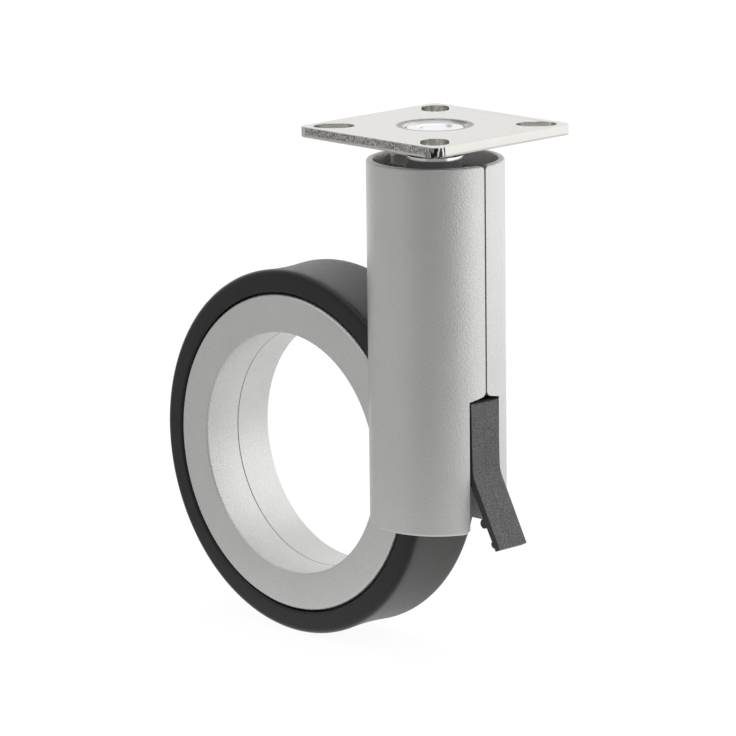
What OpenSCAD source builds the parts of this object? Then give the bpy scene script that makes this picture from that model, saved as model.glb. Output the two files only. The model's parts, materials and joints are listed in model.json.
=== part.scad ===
// Swivel plate castor with an open, hubless wheel and a foot brake.
// A square plate on a riveted king pin carries a tube made of two cast half shells.
// Each shell also has half of the fixed ring that the wheel runs around.
// Origin: centre of the plate's top face, on the swivel axis. +Z up, +X towards the
// brake lever (the direction of travel), and the wheel turns about Y.

/* [Top plate] */
// Side of the square plate
plate_size = 38; // [34:0.5:50]
// Thickness of the plate
plate_t = 2.2; // [1.5:0.1:3]
// Radius of the plate's corners
plate_corner_r = 1.6; // [1:0.1:4]
// Radius of the rolled lower edge left by the blanking
plate_roll_r = 0.5; // [0.2:0.1:0.9]
// Distance of a slot's centre from the plate's two nearest edges
slot_inset = 5; // [4.5:0.1:6]
// Width of a mounting slot
slot_w = 5.5; // [4:0.1:6]
// Length of a mounting slot, end to end
slot_len = 8; // [6.5:0.1:9]
// Diameter of the pressed dish at the plate's top face
dish_d = 13.5; // [12.8:0.1:15]
// Depth of the pressed dish
dish_depth = 0.9; // [0.7:0.1:1.2]

/* [King pin] */
// Diameter of the pin in the bearings
pin_d = 8; // [6:0.5:8]
// Diameter of the pin where it passes the plate
pin_neck_d = 7; // [5:0.5:8]
// Diameter of the riveted head in the dish
pin_head_d = 11.6; // [10:0.2:12]
// Height of the riveted head above the dish floor
pin_head_h = 0.5; // [0.3:0.1:0.6]
// Diameter of the shallow hollow in the riveted head
pin_hollow_d = 7.6; // [5:0.2:9]
// Diameter of the collar under the plate at its widest
pin_collar_d = 11.5; // [10:0.1:14]
// Length of the pin below the lower washer
pin_tail_len = 2.5; // [2:0.1:3.5]

/* [Tube] */
// Thickness of the tube's wall
tube_wall = 1.3; // [1.1:0.05:1.6]
// Gap between the plate's lower face and the tube's top rim
plate_gap = 4.3; // [3.6:0.1:8]
// Length of the tube
tube_len = 73.3; // [72:0.1:78]
// Radius of the tube's outer lip at both ends
lip_r = 0.55; // [0.2:0.05:0.8]
// Width of the slit between the two shells
seam_gap = 0.4; // [0.2:0.1:0.8]
// Radius of the slit's corners at the rim and at the lever window
seam_flare_r = 1.2; // [0.5:0.1:2]
// Radial depth of the ribs that hold the bearing carrier
rib_depth = 1.05; // [0.6:0.05:1.2]
// Height of a rib that holds the bearing carrier
rib_h = 1.5; // [1:0.1:2]

/* [Ring] */
// Depth of the wheel's axis below the plate's top face
wheel_drop = 70.2; // [69:0.1:74]
// Distance that the tyre reaches past the swivel axis
tyre_reach = 3.4; // [1.5:0.1:4]
// Width over the two ring faces
ring_w = 17.4; // [17.2:0.1:18.6]
// Thickness of a ring flange
flange_t = 2; // [1.6:0.1:2.3]
// Thickness of the barrel that carries the inner race
barrel_t = 1.5; // [1.2:0.05:1.6]
// Radius of the ring's outer edge
flange_edge_r = 0.8; // [0.3:0.1:1.2]
// Radius of the bore's edge
bore_edge_r = 0.45; // [0.2:0.05:0.8]

/* [Wheel] */
// Diameter over the tread
tyre_d = 75; // [74:0.1:76]
// Width of the tyre
tyre_w = 16.8; // [15:0.1:17]
// Thickness of the tyre over the rim
tyre_t = 4.1; // [3.6:0.1:4.6]
// Radius of the tyre's shoulders
shoulder_r = 1.4; // [1:0.1:2.4]
// Depth of the hollow across the tread
tread_hollow = 0.3; // [0.1:0.05:0.5]
// Gap between the ring flange and the tyre
flange_gap = 0.4; // [0.3:0.05:0.6]
// Depth of the ring flange's edge below the tyre's seat
rim_step = 0.9; // [0.8:0.05:1.1]
// Thickness of the rim
rim_t = 1.8; // [1.5:0.1:2]
// Width of the rim
rim_w = 12.6; // [11:0.1:12.8]
// Diameter of the wheel bearing's balls
wheel_ball_d = 3; // [2.6:0.1:3.1]
// Number of balls in the wheel bearing
wheel_ball_count = 30; // [20:1:36]
// Width of the wheel bearing's races
race_w = 7; // [5.5:0.1:8]

/* [Swivel bearings] */
// Outer diameter of a swivel bearing
bearing_od = 22; // [20:0.5:24]
// Width of a swivel bearing
bearing_w = 7; // [6:0.5:8]
// Diameter of a swivel bearing's balls
swivel_ball_d = 3.97; // [3:0.05:4]
// Number of balls in a swivel bearing
swivel_ball_count = 7; // [5:1:8]
// Distance between the two swivel bearings
bearing_spacing = 9; // [8:0.5:12]
// Thickness of the carrier between the bearings and the tube
carrier_wall = 1.25; // [1.1:0.05:2]
// Height of the dust sleeve between the collar and the upper bearing
sleeve_h = 4.3; // [4:0.1:6]
// Outer diameter of the dust sleeve
sleeve_d = 11; // [10:0.1:11.6]

/* [Brake] */
// Width of the brake lever
lever_w = 7.6; // [5:0.1:8]
// Gap beside the lever in its window
lever_side_gap = 0.3; // [0.15:0.05:0.5]
// Gap between the lever's top end and the window's sides
lever_top_gap = 0.5; // [0.4:0.1:1.5]
// Rise of the window's top from its sides to the slit
window_gable = 0.9; // [0.5:0.1:1.2]
// Height of the lever's top end above its pivot
lever_arm_h = 12.4; // [11:0.1:14]
// Thickness of the lever's upper arm
lever_arm_t = 2.2; // [1.6:0.1:2.4]
// Thickness of the lever's tail
lever_tail_t = 1.35; // [1:0.05:2]
// Length of the lever's tail along its outer face
lever_tail_len = 15.6; // [10:0.1:18]
// Angle of the tail away from the tube
lever_tail_angle = 28; // [20:1:35]
// Depth of the bend below the pivot
lever_bend_drop = 1.7; // [1:0.1:3]
// Radius of the lever's hub
hub_r = 2.9; // [2.4:0.1:3]
// Distance of the pivot from the tube's outer surface
pivot_inset = 4.25; // [4:0.05:4.7]
// Depth of the pivot below the plate's top face
pivot_drop = 66; // [65:0.1:67]
// Diameter of the lever's pivot pin
pivot_d = 2.5; // [2:0.1:2.6]
// Angle the lever turns from free to braked
brake_angle = 28; // [20:1:30]
// Gap left between the lever's shoe and the tread when braked
shoe_gap = 0.3; // [0.2:0.05:0.6]
// Thickness of a cheek beside the lever
cheek_t = 1.3; // [1:0.1:1.5]

/* [Clearances] */
// Radial clearance of the lever on its pivot pin
pivot_clear = 0.05; // [0.03:0.01:0.1]
// Gap between a ball and its groove
ball_clear = 0.03; // [0.02:0.01:0.05]
// Gap between a ball and its cage pocket
pocket_clear = 0.08; // [0.05:0.01:0.12]
// Gap between pieces that slip over or into each other
slip_clear = 0.05; // [0.02:0.01:0.1]
// Running gap around the tyre where it passes through the tube
tyre_clear = 0.6; // [0.5:0.1:1]

/* [Hidden] */
$fn = 64;
// Overlaps of a cut with the piece that it passes, short and long
cut = 0.1;
overrun = 1;

// Plate and king pin levels
plate_bottom = -plate_t;
dish_floor = -dish_depth;
dish_slope = 0.75;
dish_under = plate_bottom - dish_depth;
collar_above_rim = 0.6;
collar_bottom = plate_bottom - plate_gap + collar_above_rim;
slot_reach = (plate_size / 2 - slot_inset) * sqrt(2);

// Tube, which follows from the bearings and the carrier inside it
bearing_or = bearing_od / 2;
carrier_clear = 0.1;
carrier_r = bearing_or + carrier_wall;
tube_inner_r = carrier_r + carrier_clear;
tube_r = tube_inner_r + tube_wall;
tube_top = plate_bottom - plate_gap;
tube_bottom = tube_top - tube_len;
inner_lip_r = 0.3;

// Swivel bearings, from the collar downwards
upper_top = collar_bottom - sleeve_h;
upper_bottom = upper_top - bearing_w;
lower_top = upper_bottom - bearing_spacing;
lower_bottom = lower_top - bearing_w;
pin_r = pin_d / 2;
ball_circle_r = (bearing_or + pin_r) / 2;
swivel_ball_r = swivel_ball_d / 2;
ring_land = 1.45;
inner_ring_r = ball_circle_r - ring_land;
outer_ring_r = ball_circle_r + ring_land;
shield_t = 0.3;
shield_inset = 0.15;
shield_seat_depth = 0.35;
shield_seat_r = outer_ring_r + shield_seat_depth;
washer_t = 0.8;
clip_t = 0.8;
clip_groove_depth = 0.4;
clip_groove_r = pin_r - clip_groove_depth;
clip_depth = 1.8;
clip_r = clip_groove_r + clip_depth;
washer_bottom = lower_bottom - washer_t;
pin_bottom = washer_bottom - pin_tail_len;

// Bearing carrier
carrier_overrun = 0.2;
carrier_top = upper_top + carrier_overrun;
carrier_bottom = lower_bottom - carrier_overrun;
carrier_lip = 1.5;
carrier_bore_r = bearing_or - carrier_lip;
rib_r = tube_inner_r - rib_depth;
rib_offset = 1.5;
rib_levels = [upper_bottom - rib_offset - rib_h, lower_top + rib_offset];

// Key ribs on the shells' joint faces: half width, depths and drops below the tube's rim
key_half = 1.2;
key_in_carrier = 0.7;
key_in_mouth = 4.5;
key_drop_near = 2.25;
key_drop_far = 0.5;
key_drop_lever = 1;

// Ring and wheel, in distances from the wheel's axis, from the tread inwards
tyre_r = tyre_d / 2;
wheel_trail = tyre_r - tyre_reach;
rim_r = tyre_r - tyre_t;
flange_r = rim_r - rim_step;
rim_seat_r = rim_r - rim_t;
rim_lip = 0.6;
rim_lip_r = rim_seat_r - rim_lip;
outer_race_t = 1.4;
outer_race_r = rim_seat_r - outer_race_t;
race_land = 1.05;
wheel_circle_r = outer_race_r - race_land;
wheel_ball_r = wheel_ball_d / 2;
inner_race_r = wheel_circle_r - race_land;
inner_race_t = 1.8;
barrel_r = inner_race_r - inner_race_t;
race_stop_h = 1;
race_stop_r = barrel_r + race_stop_h;
bore_r = barrel_r - barrel_t;
joint_chamfer = 0.12;

// Half widths across the wheel
ring_half = ring_w / 2;
channel_half = ring_half - flange_t;
tyre_half = tyre_w / 2;
rim_half = rim_w / 2;
race_half = race_w / 2;

// Brake
lever_half = lever_w / 2;
window_half = lever_half + lever_side_gap;
pivot_r = pivot_d / 2;
pivot_x = tube_r - pivot_inset;
pivot_z = -pivot_drop;
lever_proud = 0.05;
lever_face_x = sqrt(pow(tube_r, 2) - pow(lever_half, 2)) + lever_proud;
lever_top = pivot_z + lever_arm_h;
lever_bend_z = pivot_z - lever_bend_drop;
lever_bend_out = 0.3;
lever_bend_x = lever_face_x + lever_bend_out;
window_top = lever_top + lever_top_gap;
window_corner_r = 1.5;
cheek_clear = 1.5;
cheek_x = tyre_reach + cheek_clear;
cheek_foot = 0.8;
cheek_bottom = tube_bottom + cheek_foot;
cheek_drop = 1.9;
cheek_top = window_top - cheek_drop;

// Spring: its leg ends on the hub, above the sweep of the shoe
spring_t = 0.4;
spring_hub_gap = 0.25;
spring_rise = 1.5;
spring_bottom = pivot_z + spring_rise;
spring_x = pivot_x - sqrt(pow(hub_r, 2) - pow(spring_rise, 2)) - spring_hub_gap - spring_t;
spring_drop = 1;
spring_top = cheek_top - spring_drop;
spring_tab_h = 5;
spring_seat = 0.7;
spring_tab_half = window_half + spring_seat;
spring_leg_inset = 0.4;
spring_leg_half = lever_half - spring_leg_inset;

// Direction of the wheel's axis from the lever's pivot, and the lever's reach towards it
wheel_dx = wheel_trail + pivot_x;
wheel_dz = wheel_drop - pivot_drop;
wheel_dist = sqrt(pow(wheel_dx, 2) + pow(wheel_dz, 2));
wheel_dir = 180 + atan2(wheel_dz, wheel_dx);
shoe_lag = 10;
shoe_tip_r = 1;
shoe_reach = (wheel_dist - tyre_r - shoe_gap) / cos(shoe_lag);
shoe_dir = wheel_dir + shoe_lag + brake_angle;

// Dowels that join the shells, in [x, z]
dowel_r = 1.5;
dowel_half_len = 6;
dowel_end_gap = 0.2;
dowel_boss_r = 2.8;
dowel_inset = 5.85;
dowel_rises = [11.6, 4.2];
dowel_places = [for (rise = dowel_rises) [tube_inner_r - dowel_inset, window_top + rise]];

// Points of an arc, from angle a to angle b
function arc(cx, cy, r, a, b, steps = 8) =
    [for (i = [0:steps]) let (t = a + (b - a) * i / steps) [cx + r * cos(t), cy + r * sin(t)]];

// Turns a shape made about Z into one about the wheel's axis: +Z becomes -Y
module on_wheel_axis() {
    translate([-wheel_trail, 0, -wheel_drop]) rotate([90, 0, 0]) children();
}

// Extrudes an outline drawn in X and Z, centred on Y
module across(width) {
    rotate([90, 0, 0]) linear_extrude(width, center = true) children();
}

// A ring with its axis on Z
module ring(inner, outer, bottom, top) {
    difference() {
        translate([0, 0, bottom]) cylinder(r = outer, h = top - bottom);
        translate([0, 0, bottom - cut]) cylinder(r = inner, h = top - bottom + 2 * cut);
    }
}

// A ring groove with a round section
module groove(circle_r, groove_r) {
    rotate_extrude() translate([circle_r, 0]) circle(groove_r);
}

// Balls on a circle about Z
module ball_row(circle_r, ball_r, count) {
    for (i = [0:count - 1]) rotate(i * 360 / count) translate([circle_r, 0, 0]) sphere(ball_r);
}

// Ball cage: a ring about Z with a round pocket for each ball
module ball_cage(circle_r, ball_r, count, cage_t, cage_half) {
    difference() {
        ring(circle_r - cage_t, circle_r + cage_t, -cage_half, cage_half);
        for (i = [0:count - 1]) rotate(i * 360 / count) translate([circle_r - 2 * cage_t, 0, 0])
            rotate([0, 90, 0]) cylinder(r = ball_r + pocket_clear, h = 4 * cage_t);
    }
}

// Mounting plate
module plate_outline() {
    inset = plate_size / 2 - plate_corner_r;
    for (a = [0, 90]) rotate(a) square([plate_size, 2 * inset], center = true);
    for (x = [-inset, inset], y = [-inset, inset]) translate([x, y]) circle(plate_corner_r);
}

module mounting_slot() {
    reach = (slot_len - slot_w) / 2;
    square([2 * reach, slot_w], center = true);
    for (x = [-reach, reach]) translate([x, 0]) circle(slot_w / 2);
}

// Section that is cut away from a lower edge to leave it rolled
module roll_section() {
    difference() {
        translate([-plate_roll_r, -cut]) square([plate_roll_r + cut, plate_roll_r + cut]);
        translate([-plate_roll_r, plate_roll_r]) circle(plate_roll_r);
    }
}

module rolled_edge() {
    inset = plate_size / 2 - plate_corner_r;
    for (a = [0:90:270]) rotate(a) {
        translate([plate_size / 2, 0, plate_bottom]) rotate([90, 0, 0])
            linear_extrude(2 * inset, center = true) roll_section();
        translate([inset, inset, plate_bottom])
            rotate_extrude(angle = 90) translate([plate_corner_r, 0]) roll_section();
    }
}

module mounting_plate() {
    dish_r = dish_d / 2;
    floor_r = dish_r - dish_slope;
    boss_r = dish_r + 0.1;
    boss_foot_r = boss_r + dish_slope;
    color([0.86, 0.86, 0.84]) difference() {
        union() {
            translate([0, 0, plate_bottom]) linear_extrude(plate_t) plate_outline();
            rotate_extrude() polygon([
                [0, plate_bottom + cut], [boss_foot_r, plate_bottom + cut],
                [boss_foot_r, plate_bottom], [boss_r, dish_under], [0, dish_under]
            ]);
        }
        rolled_edge();
        translate([0, 0, plate_bottom - cut]) linear_extrude(plate_t + 2 * cut)
            for (a = [45:90:315]) rotate(a) translate([slot_reach, 0]) mounting_slot();
        rotate_extrude() polygon([
            [0, cut], [dish_r + cut * dish_slope / dish_depth, cut], [floor_r, dish_floor], [0, dish_floor]
        ]);
        translate([0, 0, dish_under - cut]) cylinder(d = pin_neck_d, h = plate_t + 2 * cut);
    }
}

// King pin: riveted head, neck, rounded collar, journal and groove
module king_pin() {
    edge = 0.3;
    head_r = pin_head_d / 2;
    head_top = dish_floor + pin_head_h;
    hollow_r = pin_hollow_d / 2;
    hollow_floor = head_top - 0.35;
    collar_r = pin_collar_d / 2;
    collar_mid = (dish_under + collar_bottom) / 2;
    collar_half = (dish_under - collar_bottom) / 2;
    bulge = 0.35;
    bulge_angle = 70;
    groove_bottom = washer_bottom - clip_t - slip_clear;
    color([0.8, 0.81, 0.83]) rotate_extrude() polygon(concat(
        [[0, hollow_floor], [hollow_r - edge, hollow_floor], [hollow_r, head_top]],
        [[head_r - edge, head_top], [head_r, head_top - edge], [head_r, dish_floor]],
        [[pin_neck_d / 2, dish_floor], [pin_neck_d / 2, dish_under]],
        [for (i = [0:12]) let (t = bulge_angle * (1 - i / 6))
            [collar_r - bulge * (1 - cos(t)), collar_mid + collar_half * sin(t) / sin(bulge_angle)]],
        [[pin_r, collar_bottom], [pin_r, washer_bottom], [clip_groove_r, washer_bottom]],
        [[clip_groove_r, groove_bottom], [pin_r, groove_bottom]],
        [[pin_r, pin_bottom + edge], [pin_r - edge, pin_bottom], [0, pin_bottom]]
    ));
}

// Dark sleeve between the collar and the upper bearing
module dust_sleeve() {
    edge = 0.3;
    sleeve_r = sleeve_d / 2;
    color([0.22, 0.22, 0.23]) rotate_extrude() polygon([
        [pin_r + slip_clear, upper_top], [sleeve_r, upper_top], [sleeve_r, collar_bottom - edge],
        [sleeve_r - edge, collar_bottom], [pin_r + slip_clear, collar_bottom]
    ]);
}

// Deep groove ball bearing, with its top face at the given level
module bearing_inner_ring(top) {
    color([0.72, 0.73, 0.75]) difference() {
        ring(pin_r, inner_ring_r, top - bearing_w, top);
        translate([0, 0, top - bearing_w / 2]) groove(ball_circle_r, swivel_ball_r + ball_clear);
    }
}

module bearing_outer_ring(top) {
    seat = shield_inset + shield_t;
    color([0.72, 0.73, 0.75]) difference() {
        ring(outer_ring_r, bearing_or, top - bearing_w, top);
        translate([0, 0, top - bearing_w / 2]) groove(ball_circle_r, swivel_ball_r + ball_clear);
        for (z = [top - seat, top - bearing_w - cut])
            translate([0, 0, z]) cylinder(r = shield_seat_r, h = seat + cut);
    }
}

module bearing_balls(top) {
    color([0.85, 0.86, 0.88]) translate([0, 0, top - bearing_w / 2])
        ball_row(ball_circle_r, swivel_ball_r, swivel_ball_count);
}

module bearing_cage(top) {
    cage_t = 0.75;
    cage_inset = 0.9;
    color([0.55, 0.36, 0.16]) translate([0, 0, top - bearing_w / 2])
        ball_cage(ball_circle_r, swivel_ball_r, swivel_ball_count, cage_t, bearing_w / 2 - cage_inset);
}

module bearing_shields(top) {
    inner = inner_ring_r + 0.2;
    color([0.6, 0.61, 0.62])
        for (z = [top - shield_inset - shield_t, top - bearing_w + shield_inset])
            ring(inner, shield_seat_r, z, z + shield_t);
}

module bearing_spacer() {
    color([0.62, 0.63, 0.65]) ring(pin_r + slip_clear, pin_r + 1.5, lower_top, upper_bottom);
}

module pin_washer() {
    color([0.7, 0.71, 0.72]) ring(pin_r + slip_clear, pin_r + 1.75, washer_bottom, lower_bottom);
}

// Open ring with two eyes, sprung into the pin's groove
module retaining_ring() {
    eye_r = 1.3;
    eye_hole_r = 0.5;
    eye_x = clip_r - 0.3;
    eye_angle = 22;
    gap_angle = 8;
    gap_x = clip_r + 2 * eye_r;
    color([0.3, 0.3, 0.31]) translate([0, 0, washer_bottom - clip_t]) difference() {
        union() {
            cylinder(r = clip_r, h = clip_t);
            for (a = [-eye_angle, eye_angle]) rotate(a) translate([eye_x, 0, 0])
                cylinder(r = eye_r, h = clip_t);
        }
        translate([0, 0, -cut]) {
            cylinder(r = clip_groove_r, h = clip_t + 2 * cut);
            for (a = [-eye_angle, eye_angle]) rotate(a) translate([eye_x, 0, 0])
                cylinder(r = eye_hole_r, h = clip_t + 2 * cut);
            linear_extrude(clip_t + 2 * cut) polygon([
                [0, 0], [gap_x, -gap_x * tan(gap_angle)], [gap_x, gap_x * tan(gap_angle)]
            ]);
        }
    }
}

// Plastic carrier that the shells clamp, with a pocket for each bearing
module bearing_carrier() {
    key_x = tube_inner_r - key_in_carrier - slip_clear;
    color([0.2, 0.2, 0.21]) difference() {
        ring(carrier_bore_r, carrier_r, carrier_bottom, carrier_top);
        translate([0, 0, upper_bottom]) cylinder(r = bearing_or, h = carrier_top - upper_bottom + cut);
        translate([0, 0, carrier_bottom - cut])
            cylinder(r = bearing_or, h = lower_top - carrier_bottom + cut);
        for (z = rib_levels)
            ring(rib_r - slip_clear, tube_r, z - slip_clear, z + rib_h + slip_clear);
        for (side = [0, 1]) mirror([side, 0, 0])
            translate([key_x, -key_half - slip_clear, upper_bottom - slip_clear])
                cube([tube_r, 2 * (key_half + slip_clear), bearing_w + overrun]);
    }
}

// Tube section with rounded lips, as a solid of revolution
module tube_body(inner) {
    rotate_extrude() polygon(concat(
        [[inner, tube_bottom], [tube_r - lip_r, tube_bottom]],
        arc(tube_r - lip_r, tube_bottom + lip_r, lip_r, -90, 0),
        arc(tube_r - lip_r, tube_top - lip_r, lip_r, 0, 90),
        inner > 0 ? arc(inner + inner_lip_r, tube_top - inner_lip_r, inner_lip_r, 90, 180, 4)
            : [[inner, tube_top]]
    ));
}

// Half space on the near side of the joint plane
module near_half() {
    reach = 2 * (wheel_trail + tyre_r);
    translate([-reach / 2, -reach / 2, -reach]) cube([reach, reach / 2, reach + cut]);
}

// Closes an outline with its own mirror image
function both_sides(side) = concat(side, [for (i = [len(side) - 1:-1:0]) [-side[i][0], side[i][1]]]);

// Edge of the slit in Y and Z, from above the tube's rim downwards, flared at the rim
slit_half = seam_gap / 2;
slit_flare_y = slit_half + seam_flare_r;
slit_edge = concat(
    [[slit_flare_y, tube_top + overrun]], arc(slit_flare_y, tube_top - seam_flare_r, seam_flare_r, 90, 180)
);

// Outline of what is cut from the wall on the lever's side: the slit opens into the gabled window
module lever_side_outline() {
    gable_angle = atan2(window_gable, window_half);
    // Level of the fillet between the slit and the gable
    fillet_z = window_top + window_gable * (1 - slit_flare_y / window_half) + seam_flare_r / cos(gable_angle);
    polygon(both_sides(concat(
        slit_edge,
        arc(slit_flare_y, fillet_z, seam_flare_r, 180, 270 - gable_angle),
        [[window_half, window_top]],
        arc(window_half + window_corner_r, tube_bottom + window_corner_r, window_corner_r, 180, 270),
        [[window_half + window_corner_r, tube_bottom - overrun]]
    )));
}

// Outline of what is cut from the wall on the wheel's side
module wheel_side_outline() {
    polygon(both_sides(concat(slit_edge, [[slit_half, tube_bottom - overrun]])));
}

// Extrudes a Y and Z outline through the tube's wall, towards +X
module through_wall() {
    depth = tube_wall + rib_depth;
    translate([tube_r - depth, 0, 0]) rotate([90, 0, 90]) linear_extrude(depth + overrun) children();
}

// Room for the rim and the tyre where they pass through the tube
module wheel_channel() {
    on_wheel_axis() {
        ring(barrel_r, flange_r, -channel_half, channel_half);
        ring(flange_r - cut, tyre_r + tyre_clear, -ring_half, ring_half);
    }
}

// Near half of the fixed ring: flange, barrel and the land beside the inner race
module ring_side() {
    on_wheel_axis() rotate_extrude() polygon(concat(
        [[bore_r + joint_chamfer, 0], [barrel_r, 0], [barrel_r, race_half], [race_stop_r, race_half]],
        [[race_stop_r, channel_half], [flange_r, channel_half]],
        arc(flange_r - flange_edge_r, ring_half - flange_edge_r, flange_edge_r, 0, 90, 6),
        arc(bore_r + bore_edge_r, ring_half - bore_edge_r, bore_edge_r, 90, 180, 4),
        [[bore_r, joint_chamfer]]
    ));
}

// Closes the space between the tube's wall and the open bore
module bore_fill() {
    intersection() {
        tube_body(0);
        on_wheel_axis() cylinder(r = (bore_r + barrel_r) / 2, h = ring_half);
    }
}

module dowel_boss(place) {
    intersection() {
        tube_body(0);
        translate([place[0], 0, place[1]]) rotate([90, 0, 0]) cylinder(r = dowel_boss_r, h = tube_r);
    }
}

module brake_cheek() {
    difference() {
        intersection() {
            tube_body(0);
            translate([cheek_x, -window_half - cheek_t, cheek_bottom])
                cube([tube_r, cheek_t, cheek_top - cheek_bottom]);
        }
        translate([pivot_x, 0, pivot_z]) rotate([90, 0, 0]) cylinder(r = pivot_r, h = tube_r);
        translate([spring_x, -spring_tab_half, spring_top - spring_tab_h])
            translate([-slip_clear, -slip_clear, -slip_clear])
            cube([spring_t + 2 * slip_clear, tube_r, spring_tab_h + 2 * slip_clear]);
    }
}

// Rib on the joint face at one side of the mouth; its deep part stands above the carrier
module key_rib(drop) {
    top = tube_top - drop;
    foot = carrier_top + slip_clear;
    translate([-tube_r + tube_wall / 2, -key_half, foot])
        cube([tube_wall / 2 + key_in_mouth, key_half, top - foot]);
    translate([-tube_r + tube_wall / 2, -key_half, upper_bottom])
        cube([tube_wall / 2 + key_in_carrier, key_half, top - upper_bottom]);
}

// One shell, on the near side, with the drop of its key rib at the wheel's side
module shell(key_drop) {
    difference() {
        union() {
            difference() {
                union() {
                    intersection() {
                        near_half();
                        union() {
                            tube_body(tube_inner_r);
                            bore_fill();
                            for (z = rib_levels) ring(rib_r, tube_r - tube_wall / 2, z, z + rib_h);
                        }
                    }
                    for (place = dowel_places) dowel_boss(place);
                    key_rib(key_drop);
                    mirror([1, 0, 0]) key_rib(key_drop_lever);
                }
                wheel_channel();
                through_wall() lever_side_outline();
                mirror([1, 0, 0]) through_wall() wheel_side_outline();
            }
            brake_cheek();
            ring_side();
        }
        for (place = dowel_places) translate([place[0], cut, place[1]]) rotate([90, 0, 0])
            cylinder(r = dowel_r, h = dowel_half_len + dowel_end_gap + cut);
    }
}

module near_shell() {
    color([0.7, 0.71, 0.72]) shell(key_drop_near);
}

module far_shell() {
    color([0.74, 0.75, 0.76]) mirror([0, 1, 0]) shell(key_drop_far);
}

module shell_dowels() {
    color([0.65, 0.66, 0.68]) for (place = dowel_places)
        translate([place[0], 0, place[1]]) rotate([90, 0, 0])
            cylinder(r = dowel_r, h = 2 * dowel_half_len, center = true);
}

// Wheel bearing and wheel
module wheel_inner_race() {
    color([0.72, 0.73, 0.75]) on_wheel_axis() difference() {
        ring(barrel_r, inner_race_r, -race_half + slip_clear, race_half - slip_clear);
        groove(wheel_circle_r, wheel_ball_r + ball_clear);
    }
}

module wheel_balls() {
    color([0.85, 0.86, 0.88]) on_wheel_axis()
        ball_row(wheel_circle_r, wheel_ball_r, wheel_ball_count);
}

module wheel_ball_cage() {
    cage_t = 0.7;
    cage_side = 0.8;
    color([0.9, 0.88, 0.8]) on_wheel_axis()
        ball_cage(wheel_circle_r, wheel_ball_r, wheel_ball_count, cage_t, wheel_ball_r + cage_side);
}

module wheel_outer_race() {
    color([0.72, 0.73, 0.75]) on_wheel_axis() difference() {
        ring(outer_race_r, rim_seat_r, -race_half, race_half);
        groove(wheel_circle_r, wheel_ball_r + ball_clear);
    }
}

module wheel_rim() {
    color([0.35, 0.36, 0.37]) on_wheel_axis() rotate_extrude() difference() {
        translate([rim_lip_r, -rim_half]) square([rim_r - rim_lip_r, rim_w]);
        translate([rim_lip_r - cut, -race_half]) square([rim_seat_r - rim_lip_r + cut, race_w]);
    }
}

module tyre() {
    bead_r = flange_r + flange_gap;
    bead_y = rim_half + 0.1;
    bead_edge = 0.35;
    side = concat(
        [[rim_r, bead_y], [bead_r, bead_y], [bead_r, tyre_half - bead_edge]],
        [[bead_r + bead_edge, tyre_half]],
        arc(tyre_r - shoulder_r, tyre_half - shoulder_r, shoulder_r, 90, 0, 8)
    );
    last = len(side) - 1;
    tread_half = tyre_half - shoulder_r;
    tread = [for (i = [1:7]) let (t = i / 4 - 1)
        [tyre_r - tread_hollow * (1 - t * t), -t * tread_half]];
    color([0.16, 0.16, 0.17]) on_wheel_axis() rotate_extrude() polygon(concat(
        side, tread, [for (i = [last:-1:0]) [side[i][0], -side[i][1]]]
    ));
}

// Brake lever, drawn in X and Z
module lever_outline() {
    sa = sin(lever_tail_angle);
    ca = cos(lever_tail_angle);
    arm_back = lever_face_x - lever_arm_t;
    arm_edge = 0.2;
    tip_x = lever_bend_x + lever_tail_len * sa;
    tip_z = lever_bend_z - lever_tail_len * ca;
    bend_r = 6;
    // Where the inner face meets the tail, the hub and the arm
    tail_root_t = 1.2 * lever_tail_t;
    tail_root_drop = 0.4;
    web_drop = 1.5;
    arm_root_rise = 4;
    // The outer face turns through the tail's angle about a centre outside the tube
    bend_half = bend_r * tan(lever_tail_angle / 2);
    polygon(concat(
        [[arm_back, lever_top], [lever_face_x - arm_edge, lever_top], [lever_face_x, lever_top - arm_edge]],
        arc(lever_bend_x + bend_r, lever_bend_z + bend_half, bend_r, 180, 180 + lever_tail_angle, 6),
        [[tip_x, tip_z], [tip_x - lever_tail_t * ca, tip_z - lever_tail_t * sa]],
        [[lever_bend_x - tail_root_t, lever_bend_z - tail_root_drop], [pivot_x, pivot_z - web_drop]],
        [[arm_back, pivot_z + arm_root_rise]]
    ));
}

// Places a shape at a distance along the tail's outer face, with +X along the tail
module on_tail(along) {
    translate([lever_bend_x, lever_bend_z]) rotate(lever_tail_angle - 90)
        translate([along, 0]) children();
}

// Ridge across the tail's inner face, with a rounded end
module tail_ridge(along, height, width) {
    r = width / 2;
    root = lever_tail_t / 2 + height - r;
    across(lever_w) on_tail(along) translate([0, r - lever_tail_t - height])
        polygon(concat(arc(0, 0, r, 180, 360), [[r, root], [-r, root]]));
}

module brake_lever() {
    shoe_x = shoe_reach - shoe_tip_r;
    shoe_root = 2.4;
    shoe_sweep = 75;
    color([0.28, 0.28, 0.3]) difference() {
        union() {
            across(lever_w) lever_outline();
            tail_ridge(along = 9.6, height = 1.4, width = 2);
            tail_ridge(along = lever_tail_len - 1.4, height = 0.5, width = 1.6);
            across(lever_w) translate([pivot_x, pivot_z]) circle(hub_r);
            across(lever_w) translate([pivot_x, pivot_z]) rotate(shoe_dir) polygon(concat(
                [[0, shoe_root], [0, -shoe_root]], arc(shoe_x, 0, shoe_tip_r, -shoe_sweep, shoe_sweep, 6)
            ));
        }
        across(lever_w + overrun) translate([pivot_x, pivot_z]) circle(pivot_r + pivot_clear);
    }
}

module lever_pin() {
    pin_end = 0.7;
    pin_half = window_half + cheek_t + pin_end;
    color([0.7, 0.71, 0.73]) translate([pivot_x, 0, pivot_z]) rotate([90, 0, 0])
        cylinder(r = pivot_r, h = 2 * pin_half, center = true);
}

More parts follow.
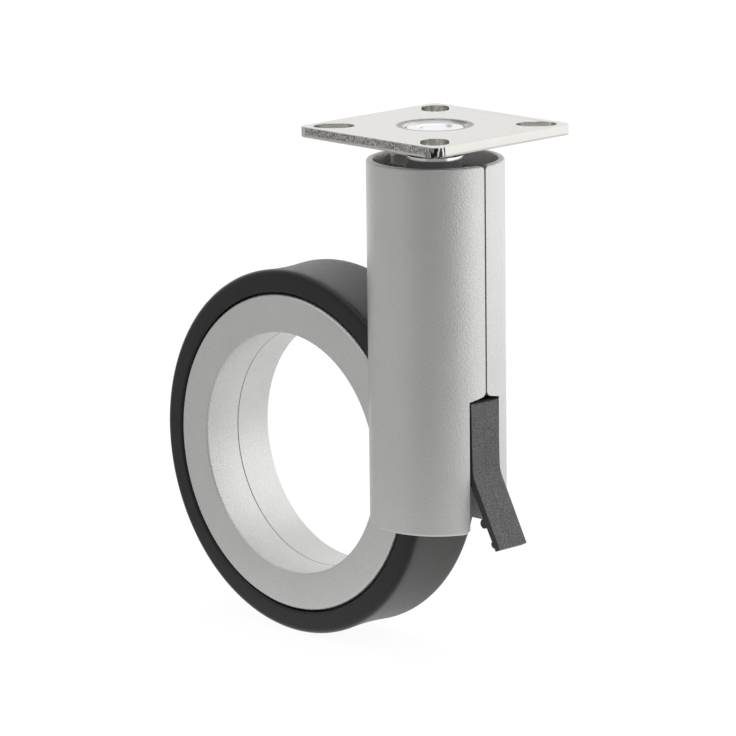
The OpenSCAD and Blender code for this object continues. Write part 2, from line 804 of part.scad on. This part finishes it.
// Leaf spring that bears on the lever's hub, held by its tabs in the cheeks
module lever_spring() {
    color([0.6, 0.61, 0.63]) translate([spring_x, 0, 0]) {
        translate([0, -spring_tab_half, spring_top - spring_tab_h])
            cube([spring_t, 2 * spring_tab_half, spring_tab_h]);
        translate([0, -spring_leg_half, spring_bottom])
            cube([spring_t, 2 * spring_leg_half, spring_top - spring_bottom]);
    }
}

mounting_plate();
king_pin();
dust_sleeve();
bearing_inner_ring(upper_top);  // upper_inner_ring
bearing_outer_ring(upper_top);  // upper_outer_ring
bearing_balls(upper_top);  // upper_balls
bearing_cage(upper_top);  // upper_ball_cage
bearing_shields(upper_top);  // upper_shields
bearing_spacer();
bearing_inner_ring(lower_top);  // lower_inner_ring
bearing_outer_ring(lower_top);  // lower_outer_ring
bearing_balls(lower_top);  // lower_balls
bearing_cage(lower_top);  // lower_ball_cage
bearing_shields(lower_top);  // lower_shields
pin_washer();
retaining_ring();
bearing_carrier();
near_shell();
far_shell();
shell_dowels();
wheel_inner_race();
wheel_balls();
wheel_ball_cage();
wheel_outer_race();
wheel_rim();
tyre();
brake_lever();
lever_pin();
lever_spring();
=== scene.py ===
# Looks of the swivel castor with the open wheel: finishes, edge rounding, studio and camera.
# Everything is in metres, in the part's own frame: +Z up, +X towards the brake lever, Y along the
# wheel's axis. The photo's near side is -Y.
import json
import math

import bpy
from mathutils import Matrix, Vector


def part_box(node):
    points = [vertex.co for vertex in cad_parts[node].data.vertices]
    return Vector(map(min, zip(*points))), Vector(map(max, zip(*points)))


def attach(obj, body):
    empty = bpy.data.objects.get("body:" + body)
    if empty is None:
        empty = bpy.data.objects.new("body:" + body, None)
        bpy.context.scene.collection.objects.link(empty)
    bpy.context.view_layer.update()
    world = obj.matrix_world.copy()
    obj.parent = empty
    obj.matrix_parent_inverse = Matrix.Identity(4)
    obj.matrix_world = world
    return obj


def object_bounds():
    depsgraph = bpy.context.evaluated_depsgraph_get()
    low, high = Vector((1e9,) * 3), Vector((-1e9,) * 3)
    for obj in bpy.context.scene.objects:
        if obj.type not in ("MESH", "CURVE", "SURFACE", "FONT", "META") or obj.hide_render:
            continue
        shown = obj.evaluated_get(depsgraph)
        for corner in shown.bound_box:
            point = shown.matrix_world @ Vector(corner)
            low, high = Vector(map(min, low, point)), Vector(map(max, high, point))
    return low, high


MM = 0.001
WHITE = (1, 1, 1)
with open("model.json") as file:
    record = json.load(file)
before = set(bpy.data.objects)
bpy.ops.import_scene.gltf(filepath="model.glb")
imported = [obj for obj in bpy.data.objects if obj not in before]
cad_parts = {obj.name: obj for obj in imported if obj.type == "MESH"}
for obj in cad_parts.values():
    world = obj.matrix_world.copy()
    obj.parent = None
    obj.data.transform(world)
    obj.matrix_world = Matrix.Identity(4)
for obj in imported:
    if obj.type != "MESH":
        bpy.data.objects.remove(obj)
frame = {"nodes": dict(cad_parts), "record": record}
cad_low, cad_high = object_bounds()

# Camera: azimuth, elevation and roll of the line of sight, in degrees, and the distance from
# the plate's centre. ORIGIN_PX is where the plate's centre falls in the picture.
PHOTO_PX = 736
SENSOR_MM = 36.0
FOCAL_PX = 4713.7
ORIGIN_PX = (434.964, 124.786)
CAMERA_AZIMUTH = -43.917
CAMERA_ELEVATION = 12.549
CAMERA_ROLL = -0.706
CAMERA_DISTANCE = 922.32 * MM
CLIP_START = 10 * MM

# In each pair of borders below, a finish starts to change at one value and has changed at the
# other. Heights are over the plate's top face.

# Torn band on the plate's two cropped edges: its lower border, its upper border, how far both
# wander up and down, the skin of the edge that it lies on, and its ends near the corners
plate_half = max(v.co.x for v in frame["nodes"]["mounting_plate"].data.vertices)
SHEAR_BOTTOM = (-1.65 * MM, -1.45 * MM)
SHEAR_TOP = (-0.2 * MM, -0.08 * MM)
SHEAR_WANDER = 0.12 * MM
SHEAR_SKIN = (plate_half - 0.12 * MM, plate_half - 0.06 * MM)
SHEAR_ENDS = (plate_half - 2.3 * MM, plate_half - 2.0 * MM)

# Radii between which the plate's face rolls over into the dish, the heights that leave out the
# plate's underside, and the shares of the roll between which the ring of painted shade begins and
# ends
DISH_LIP = (6 * MM, 7.9 * MM)
UNDERSIDE = (-0.9 * MM, -0.6 * MM)
LIP_SHADE_START = (0.15, 0.45)
LIP_SHADE_END = (0.7, 0.98)

# Painted dark reflections on the plate's front corner: how far along X - Y they begin, and their
# top
CORNER_SIDE = (2 * plate_half - 3 * MM, 2 * plate_half - 2.7 * MM)
CORNER_TOP = (-0.2 * MM, -0.1 * MM)

# Width of the painted shade line where the two shells meet, and of the lever's mould line, and the
# shares of that width from its middle between which a line fades. SIDEWAYS says from which share
# of Y in its direction on a surface counts as one that faces along Y.
JOINT_SHADE = 0.24 * MM
MOULD_LINE = 0.3 * MM
LINE_FADE = (0.4, 0.6)
SIDEWAYS = (0.6, 0.8)

# Where the tyre's scuffed tread ends towards its sides
tyre_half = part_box("tyre")[1][1]
TREAD_END = (tyre_half - 1.2 * MM, tyre_half - 0.6 * MM)

# Most of a noise's values lie between these
NOISE_LOW = 0.3
NOISE_HIGH = 0.7

# Corners closer than WELD_DISTANCE are joined. Edges flatter than SMOOTH_ANGLE are smooth, and
# the others are rounded in ROUND_STEPS steps, by so many millimetres.
SMOOTH_ANGLE = math.radians(28)
WELD_DISTANCE = 0.0005 * MM
ROUND_STEPS = 2
EDGE_ROUNDS = {
    "near_shell": 0.17, "far_shell": 0.17, "mounting_plate": 0.1, "brake_lever": 0.15,
    "tyre": 0.12, "king_pin": 0.1, "dust_sleeve": 0.08, "bearing_carrier": 0.1,
}

# Outline of the bright band at the collar's lower end: radius and height in millimetres, from the
# top of its outside round to its inside
COLLAR_BAND = ((5.2, -4.7), (5.3, -4.9), (5.72, -6.35), (5.7, -6.5), (5.6, -6.56), (5.3, -6.5))
BAND_STEPS = 96

# Floor: its size, how far it lies under the part, its own light to the camera, and the faint
# grey that shows the shadow
FLOOR_SIZE = 12
FLOOR_GAP = 0.2 * MM
FLOOR_GLOW = 0.94
FLOOR_GREY = (0.1, 0.1, 0.1)

# The floor as light and reflections see it: its brightness, the middle of its lit patch, and the
# distances from there between which it fades into the room
SWEEP = 0.85
SWEEP_MIDDLE = (0.06, 0.16, 0)
SWEEP_FADE = (0.12, 0.3)

# Studio round the object. ROOM is the unlit side behind the camera. Each wall is a direction, the
# angles in degrees from it between which the wall ends, and its brightness.
ROOM = 0.34
WALLS = (
    ((0.56, 0.83, 0), 46, 64, 1.3),  # wide soft box on the lever's far side
    ((-0.75, -0.66, 0.1), 50, 74, 0.53),  # dimmer panel on the wheel's near side
    ((-0.72, 0.69, 0.05), 36, 52, 1),  # white backdrop
    ((0, 0, 1), 32, 54, 1.1),  # overhead soft box
    ((-0.1, 0.45, -0.9), 42, 66, 0.85),  # white sweep
)

# Key lamp: direction and distance from the part's middle, width and height, and watts
KEY_TOWARDS = (0.55, 0.9, 0.35)
KEY_DISTANCE = 1.1
KEY_SIZE = (0.7, 1.0)
KEY_POWER = 1


class Graph:
    """A small helper that builds the nodes of a material or a world."""

    def __init__(self, owner):
        owner.use_nodes = True
        self.nodes = owner.node_tree.nodes
        self.links = owner.node_tree.links

    def feed(self, socket, value):
        """Links a socket to another node's output, or sets its number, vector or colour."""
        if isinstance(value, bpy.types.NodeSocket):
            self.links.new(value, socket)
        elif socket.type == "RGBA":
            socket.default_value = (*value, 1)
        else:
            socket.default_value = value

    def node(self, kind, *values, **settings):
        """Makes a node with these settings, and feeds its first inputs."""
        made = self.nodes.new(kind)
        for key, value in settings.items():
            setattr(made, key, value)
        for socket, value in zip(made.inputs, values):
            self.feed(socket, value)
        return made

    def shader(self, kind, *values):
        return self.node(kind, *values).outputs[0]

    def math(self, operation, *values):
        return self.node("ShaderNodeMath", *values, operation=operation).outputs["Value"]

    def times(self, first, *others):
        for other in others:
            first = self.math("MULTIPLY", first, other)
        return first

    def between(self, value, low, high, start=NOISE_LOW, end=NOISE_HIGH, curve="LINEAR"):
        """A number that goes from low to high while value goes from start to end."""
        ends = (start, end, low, high)
        made = self.node("ShaderNodeMapRange", value, *ends, interpolation_type=curve)
        return made.outputs["Result"]

    def rise(self, value, start=NOISE_LOW, end=NOISE_HIGH):
        return self.between(value, 0, 1, start, end)

    def fall(self, value, start=NOISE_LOW, end=NOISE_HIGH):
        return self.between(value, 1, 0, start, end)

    def mix(self, data_type, socket_type, factor, low, high):
        """Goes from low to high with a factor."""
        made = self.node("ShaderNodeMix", factor, data_type=data_type)
        for name, value in (("A", low), ("B", high)):
            wanted = (name, socket_type)
            self.feed(next(s for s in made.inputs if (s.name, s.type) == wanted), value)
        return next(s for s in made.outputs if s.type == socket_type)

    def blend(self, factor, low, high):
        """A colour that goes from low to high with a factor."""
        return self.mix("RGBA", "RGBA", factor, low, high)

    def by_ray(self, seen, other):
        """One shader for what the camera sees, and another for light and reflections."""
        to_camera = self.node("ShaderNodeLightPath").outputs["Is Camera Ray"]
        return self.shader("ShaderNodeMixShader", to_camera, other, seen)


class Finish(Graph):
    """A material on a piece, with noise and masks to make it from."""

    def __init__(self, name):
        self.material = bpy.data.materials.new(name)
        super().__init__(self.material)
        coordinates = self.node("ShaderNodeTexCoord")
        self.place = coordinates.outputs["Object"]
        self.facing = coordinates.outputs["Normal"]

    def split(self, vector):
        """A vector's X, Y and Z."""
        return self.node("ShaderNodeSeparateXYZ", vector).outputs

    def noise(self, size, detail=2.0, roughness=0.5, stretch=(1, 1, 1)):
        """Noise whose features are about size metres across, from 0 to 1."""
        mapping = self.node("ShaderNodeMapping", self.place)
        self.feed(mapping.inputs["Scale"], stretch)
        made = self.node("ShaderNodeTexNoise", mapping.outputs["Vector"])
        for key, value in (("Scale", 1 / size), ("Detail", detail), ("Roughness", roughness)):
            self.feed(made.inputs[key], value)
        return made.outputs["Fac"]

    def not_sideways(self):
        """0 on surfaces that face along Y, and 1 on those that face away from it."""
        return self.fall(self.math("ABSOLUTE", self.split(self.facing)["Y"]), *SIDEWAYS)

    def middle_line(self, width):
        """1 along the plane between the two shells, on surfaces that cross it, and 0 elsewhere."""
        fade = (share * width for share in LINE_FADE)
        line = self.fall(self.math("ABSOLUTE", self.split(self.place)["Y"]), *fade)
        return self.times(self.not_sideways(), line)

    def done(self, colour, roughness, *bumps, **inputs):
        """The finished material. Each bump is a height, a distance in metres and a strength."""
        surface = self.nodes["Principled BSDF"].inputs
        self.feed(surface["Base Color"], colour)
        self.feed(surface["Roughness"], roughness)
        for key, value in inputs.items():
            self.feed(surface[key.replace("_", " ")], value)
        target = surface["Normal"]
        for height, distance, strength in reversed(bumps):
            bump = self.node("ShaderNodeBump")
            for key, value in (("Height", height), ("Distance", distance), ("Strength", strength)):
                self.feed(bump.inputs[key], value)
            self.feed(target, bump.outputs["Normal"])
            target = bump.inputs["Normal"]
        return self.material


def silver_paint():
    """Fine metallic coat on the cast shells: a pebbled skin with small bright flakes, and painted
    shade along the seam between the shells.
    """
    s = Finish("silver_paint")
    pebbles = s.noise(0.38 * MM, detail=3, roughness=0.65)
    flakes = s.noise(0.2 * MM, detail=1)
    cloud = s.noise(9 * MM)
    base = s.blend(s.rise(cloud), (0.67, 0.665, 0.655), (0.7, 0.695, 0.685))
    coat = s.blend(s.rise(flakes, 0.6, 0.74), base, (0.8, 0.8, 0.79))
    # Painted shade along the seam where the two shells meet
    colour = s.blend(s.middle_line(JOINT_SHADE), coat, (0.1, 0.1, 0.1))
    bumps = (pebbles, 0.125 * MM, 0.8), (flakes, 0.012 * MM, 0.5)
    return s.done(colour, s.between(flakes, 0.42, 0.34), *bumps, Metallic=0.8)


def sheared_band(s):
    """1 on the upper part of the plate's two cropped edges, and 0 elsewhere."""
    x, y, z = s.split(s.place)
    wander = s.between(s.noise(0.8 * MM, detail=3), -SHEAR_WANDER, SHEAR_WANDER)
    level = s.math("ADD", z, wander)
    return s.times(
        s.rise(level, *SHEAR_BOTTOM),
        s.fall(level, *SHEAR_TOP),
        s.rise(s.math("ABSOLUTE", y), *SHEAR_SKIN),
        s.fall(s.math("ABSOLUTE", x), *SHEAR_ENDS),
    )


def dish_lip(s):
    """From 0 at the dish's edge to 1 where the plate's top face is flat."""
    x, y, z = s.split(s.place)
    across = s.node("ShaderNodeCombineXYZ", x, y).outputs[0]
    radius = s.node("ShaderNodeVectorMath", across, operation="LENGTH").outputs["Value"]
    return s.math("MAXIMUM", s.rise(radius, *DISH_LIP), s.fall(z, *UNDERSIDE))


def corner_reflection_mask(s):
    """1 on the side of the plate's corner between +X and -Y, where dark reflections are painted,
    and 0 elsewhere.
    """
    x, y, z = s.split(s.place)
    side = s.rise(s.math("SUBTRACT", x, y), *CORNER_SIDE)
    return s.times(side, s.fall(z, *CORNER_TOP))


def zinc():
    """Zinc on rolled steel, with a speckled ring of painted shade round the dish's lip, torn
    cropped edges with painted shade in their pits, and painted dark reflections on the front
    corner.
    """
    s = Finish("zinc_plate")
    cloud = s.noise(6 * MM, detail=4, roughness=0.6)
    tint = s.noise(3.5 * MM)
    lines = s.noise(0.45 * MM, stretch=(1, 14, 1))
    speckle = s.noise(0.25 * MM, detail=3, roughness=0.75)
    torn = s.noise(0.24 * MM, detail=4, roughness=0.8, stretch=(1, 1, 0.5))
    streaks = s.noise(0.5 * MM, stretch=(1, 1, 0.2))
    sheared = sheared_band(s)
    lip = dish_lip(s)
    tints = s.blend(s.rise(tint, 0.4, 0.6), (0.665, 0.625, 0.62), (0.65, 0.65, 0.6))
    skin = s.blend(s.rise(cloud), tints, (0.71, 0.695, 0.67))
    # Speckled dark ring of painted shade round the dish's lip
    ring = s.times(s.rise(lip, *LIP_SHADE_START), s.fall(lip, *LIP_SHADE_END))
    painted_lip_shade = s.times(ring, s.between(speckle, 0.3, 1, 0.38, 0.5))
    skin = s.blend(painted_lip_shade, skin, (0.04, 0.04, 0.043))
    # Painted dark reflections, in streaks, on the plate's front corner
    dark = s.times(corner_reflection_mask(s), s.rise(streaks, 0.42, 0.52))
    skin = s.blend(dark, skin, (0.03, 0.03, 0.033))
    # Light and dark speckles on the torn band: its grain, with the dark ones as painted shade in
    # its pits
    grit_and_pit_shade = s.blend(s.rise(torn, 0.42, 0.58), (0.1, 0.095, 0.09), (0.85, 0.84, 0.82))
    colour = s.blend(sheared, skin, grit_and_pit_shade)
    roughness = s.mix("FLOAT", "VALUE", sheared, s.between(cloud, 0.16, 0.26), 0.4)
    torn_height = s.times(torn, sheared)
    bumps = (lines, 0.004 * MM, 0.4), (torn_height, 0.2 * MM, 0.9), (lip, 0.12 * MM, 0.8)
    return s.done(colour, roughness, *bumps, Metallic=0.95)


def tyre_rubber():
    """Smooth rubber: glossy dark sides, and a lighter, scuffed and slightly wrinkled tread."""
    s = Finish("tyre_rubber")
    scuffs = s.noise(1.6 * MM, detail=4, roughness=0.65)
    skin = s.noise(0.25 * MM)
    tread = s.fall(s.math("ABSOLUTE", s.split(s.place)["Y"]), *TREAD_END)
    side = s.blend(s.rise(scuffs), (0.008, 0.008, 0.009), (0.014, 0.0135, 0.0135))
    worn = s.blend(s.rise(scuffs), (0.036, 0.034, 0.033), (0.06, 0.057, 0.054))
    colour = s.blend(tread, side, worn)
    roughness = s.math("ADD", s.between(scuffs, 0.24, 0.34), s.times(tread, 0.12))
    bumps = (scuffs, 0.06 * MM, 0.35), (skin, 0.006 * MM, 0.4)
    return s.done(colour, roughness, *bumps, Specular_IOR_Level=0.4)


def lever_plastic():
    """Dark plastic: smooth sides in a darker painted shade, and a spark-eroded grain with lighter
    worn tips elsewhere.
    """
    s = Finish("lever_plastic")
    grain = s.noise(0.22 * MM, detail=3, roughness=0.75)
    grain_and_side_shade = s.not_sideways()
    cloud = s.noise(4 * MM, detail=3)
    base = s.blend(s.rise(cloud), (0.048, 0.047, 0.049), (0.064, 0.062, 0.064))
    tips = s.blend(s.rise(grain, 0.46, 0.64), base, (0.21, 0.205, 0.21))
    # Faces along Y are smooth and take a darker colour: painted shade on the lever's sides
    colour = s.blend(grain_and_side_shade, (0.022, 0.022, 0.023), tips)
    bumps = (s.times(grain, grain_and_side_shade), 0.12 * MM, 1), (s.middle_line(MOULD_LINE), 0.08 * MM, 1)
    return s.done(colour, s.between(grain, 0.62, 0.45), *bumps, Specular_IOR_Level=0.6)


def polished(name, base, roughness, grain=0.3):
    """Bright turned or ground metal, with faint grinding marks of grain millimetres."""
    s = Finish(name)
    marks = s.noise(grain * MM, stretch=(1, 1, 8))
    cloud = s.noise(2 * MM)
    colour = s.blend(s.rise(cloud), base, tuple(min(1, c * 1.06) for c in base))
    rough = s.between(cloud, roughness * 0.85, roughness * 1.2)
    return s.done(colour, rough, (marks, 0.002 * MM, 0.3), Metallic=1.0)


def moulded(name, base, light, roughness, grain, depth):
    """Moulded plastic with faint lighter clouds. Its grain and depth are in millimetres."""
    s = Finish(name)
    skin = s.noise(grain * MM, detail=3, roughness=0.6)
    cloud = s.noise(5 * MM, detail=3)
    colour = s.blend(s.rise(cloud), base, light)
    rough = s.between(skin, roughness - 0.07, roughness + 0.07)
    return s.done(colour, rough, (skin, depth * MM, 0.5))


BLACK = (0.03, 0.03, 0.033), (0.045, 0.045, 0.05)
FINISHES = {
    "silver_paint": silver_paint(),
    "zinc_plate": zinc(),
    "chromed_pin": polished("chromed_pin", (0.86, 0.87, 0.88), 0.2, 0.8),
    "bearing_steel": polished("bearing_steel", (0.66, 0.67, 0.69), 0.2),
    "ball_steel": polished("ball_steel", (0.8, 0.81, 0.83), 0.07),
    "cage_brass": polished("cage_brass", (0.62, 0.43, 0.18), 0.3),
    "shield_steel": polished("shield_steel", (0.5, 0.51, 0.52), 0.3),
    "spacer_steel": polished("spacer_steel", (0.55, 0.56, 0.58), 0.28),
    "spring_steel": polished("spring_steel", (0.3, 0.3, 0.32), 0.25),
    "dark_sleeve": moulded("dark_sleeve", (0.24, 0.24, 0.25), (0.3, 0.3, 0.315), 0.4, 0.3, 0.03),
    "carrier_plastic": moulded("carrier_plastic", *BLACK, 0.55, 0.4, 0.02),
    "cage_plastic": moulded("cage_plastic", (0.7, 0.67, 0.58), (0.78, 0.75, 0.66), 0.45, 0.4, 0.01),
    "rim_plastic": moulded("rim_plastic", *BLACK, 0.5, 0.4, 0.02),
    "tyre_rubber": tyre_rubber(),
    "lever_plastic": lever_plastic(),
}


def smoothing_group():
    """Node group that joins split corners, then smooths every edge flatter than an angle."""
    group = bpy.data.node_groups.new("smooth_by_angle", "GeometryNodeTree")
    for in_out in ("INPUT", "OUTPUT"):
        group.interface.new_socket("Geometry", in_out=in_out, socket_type="NodeSocketGeometry")
    nodes = group.nodes
    links = group.links
    start = nodes.new("NodeGroupInput")
    end = nodes.new("NodeGroupOutput")
    weld = nodes.new("GeometryNodeMergeByDistance")
    weld.inputs["Distance"].default_value = WELD_DISTANCE
    faces = nodes.new("GeometryNodeSetShadeSmooth")
    faces.domain = "FACE"
    edges = nodes.new("GeometryNodeSetShadeSmooth")
    edges.domain = "EDGE"
    angle = nodes.new("GeometryNodeInputMeshEdgeAngle")
    flat = nodes.new("FunctionNodeCompare")
    flat.operation = "LESS_THAN"
    flat.inputs[1].default_value = SMOOTH_ANGLE
    links.new(start.outputs[0], weld.inputs["Geometry"])
    links.new(weld.outputs["Geometry"], faces.inputs["Geometry"])
    links.new(faces.outputs["Geometry"], edges.inputs["Geometry"])
    links.new(angle.outputs["Unsigned Angle"], flat.inputs[0])
    links.new(flat.outputs["Result"], edges.inputs["Shade Smooth"])
    links.new(edges.outputs["Geometry"], end.inputs[0])
    return group


def dress(node, finish, smoothing):
    """Gives a CAD node its finish and rounds its edges."""
    thing = frame["nodes"][node]
    thing.data.materials.clear()
    thing.data.materials.append(finish)
    smooth = thing.modifiers.new("smooth", "NODES")
    smooth.node_group = smoothing
    if node in EDGE_ROUNDS:
        bevel = thing.modifiers.new("edges", "BEVEL")
        bevel.width = EDGE_ROUNDS[node] * MM
        bevel.segments = ROUND_STEPS
        bevel.limit_method = "ANGLE"
        bevel.angle_limit = SMOOTH_ANGLE
        bevel.use_clamp_overlap = True
        bevel.harden_normals = True


def add(name, data):
    """A new object in the scene."""
    made = bpy.data.objects.new(name, data)
    bpy.context.scene.collection.objects.link(made)
    return made


def collar_band():
    """Turned band round the lower end of the pin's collar, just above the dark sleeve."""
    count = len(COLLAR_BAND)
    turns = [math.tau * step / BAND_STEPS for step in range(BAND_STEPS)]
    points = [
        (radius * math.cos(turn) * MM, radius * math.sin(turn) * MM, height * MM)
        for turn in turns
        for radius, height in COLLAR_BAND
    ]
    around = ((0, 0), (0, 1), (1, 1), (1, 0))
    quads = [
        tuple((step + a) % BAND_STEPS * count + (k + b) % count for a, b in around)
        for step in range(BAND_STEPS)
        for k in range(count)
    ]
    data = bpy.data.meshes.new("collar_band")
    data.from_pydata(points, [], quads)
    data.shade_smooth()
    data.materials.append(FINISHES["chromed_pin"])
    band = add("collar_band", data)
    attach(band, "mount")


def floor():
    """White floor that shows the object's shadow to the camera, and fades out for reflections."""
    bpy.ops.mesh.primitive_plane_add(size=FLOOR_SIZE, location=(0, 0, cad_low[2] - FLOOR_GAP))
    plane = bpy.context.object
    plane.name = "floor"
    material = bpy.data.materials.new("floor_white")
    graph = Graph(material)
    graph.nodes.clear()
    glow = graph.shader("ShaderNodeEmission", WHITE, FLOOR_GLOW)
    shadow = graph.shader("ShaderNodeBsdfDiffuse", FLOOR_GREY)
    seen = graph.shader("ShaderNodeAddShader", glow, shadow)
    place = graph.node("ShaderNodeTexCoord").outputs["Object"]
    away = graph.node("ShaderNodeVectorMath", place, SWEEP_MIDDLE, operation="DISTANCE")
    fade = graph.between(away.outputs["Value"], 0, 1, *SWEEP_FADE, curve="SMOOTHSTEP")
    sweep = graph.shader("ShaderNodeEmission", WHITE, SWEEP)
    clear = graph.shader("ShaderNodeBsdfTransparent")
    around = graph.shader("ShaderNodeMixShader", fade, sweep, clear)
    graph.node("ShaderNodeOutputMaterial", graph.by_ray(seen, around))
    plane.data.materials.append(material)


def studio():
    """World that is white to the camera, and a soft studio to everything else."""
    made = bpy.data.worlds.new("studio")
    bpy.context.scene.world = made
    graph = Graph(made)
    graph.nodes.clear()
    towards = graph.node("ShaderNodeTexCoord").outputs["Generated"]
    light = ROOM
    for direction, full, end, strength in WALLS:
        middle = Vector(direction).normalized()
        facing = graph.node("ShaderNodeVectorMath", towards, middle, operation="DOT_PRODUCT")
        edges = (math.cos(math.radians(end)), math.cos(math.radians(full)))
        wall = graph.between(facing.outputs["Value"], 0, strength, *edges, curve="SMOOTHSTEP")
        light = graph.math("MAXIMUM", light, wall)
    white = graph.shader("ShaderNodeBackground", WHITE, 1)
    room = graph.shader("ShaderNodeBackground", WHITE, light)
    graph.node("ShaderNodeOutputWorld", graph.by_ray(white, room))


def key_lamp():
    """Area lamp that faces the part's middle. Reflections don't show it."""
    data = bpy.data.lights.new("key", "AREA")
    data.shape = "RECTANGLE"
    data.size, data.size_y = KEY_SIZE
    data.energy = KEY_POWER
    made = add("key", data)
    middle = (Vector(cad_low) + Vector(cad_high)) / 2
    direction = Vector(KEY_TOWARDS).normalized()
    made.location = middle + direction * KEY_DISTANCE
    made.rotation_euler = direction.to_track_quat("Z", "Y").to_euler()
    made.visible_glossy = False


def camera():
    """Camera that sees the part as the photo does, by its angles and the plate's place."""
    angles = (CAMERA_AZIMUTH, CAMERA_ELEVATION, CAMERA_ROLL)
    azimuth, elevation, roll = (math.radians(angle) for angle in angles)
    flat = math.cos(elevation)
    back = Vector((flat * math.cos(azimuth), flat * math.sin(azimuth), math.sin(elevation)))
    level = Vector((-math.sin(azimuth), math.cos(azimuth), 0))
    upright = back.cross(level)
    right = math.cos(roll) * level + math.sin(roll) * upright
    up = math.cos(roll) * upright - math.sin(roll) * level
    half = PHOTO_PX / 2
    across = (ORIGIN_PX[0] - half) / FOCAL_PX * CAMERA_DISTANCE
    above = (half - ORIGIN_PX[1]) / FOCAL_PX * CAMERA_DISTANCE
    data = bpy.data.cameras.new("camera")
    data.sensor_width = SENSOR_MM
    data.lens = SENSOR_MM * FOCAL_PX / PHOTO_PX
    data.clip_start = CLIP_START
    made = add("camera", data)
    place = Matrix.Translation(back * CAMERA_DISTANCE - right * across - up * above)
    made.matrix_world = place @ Matrix((right, up, back)).transposed().to_4x4()
    bpy.context.scene.camera = made


smoothing = smoothing_group()
for entry in frame["record"]["subparts"]:
    dress(entry["node"], FINISHES[entry["material_slot"]], smoothing)
collar_band()
floor()
studio()
key_lamp()
camera()
bpy.context.scene.view_settings.view_transform = "Standard"
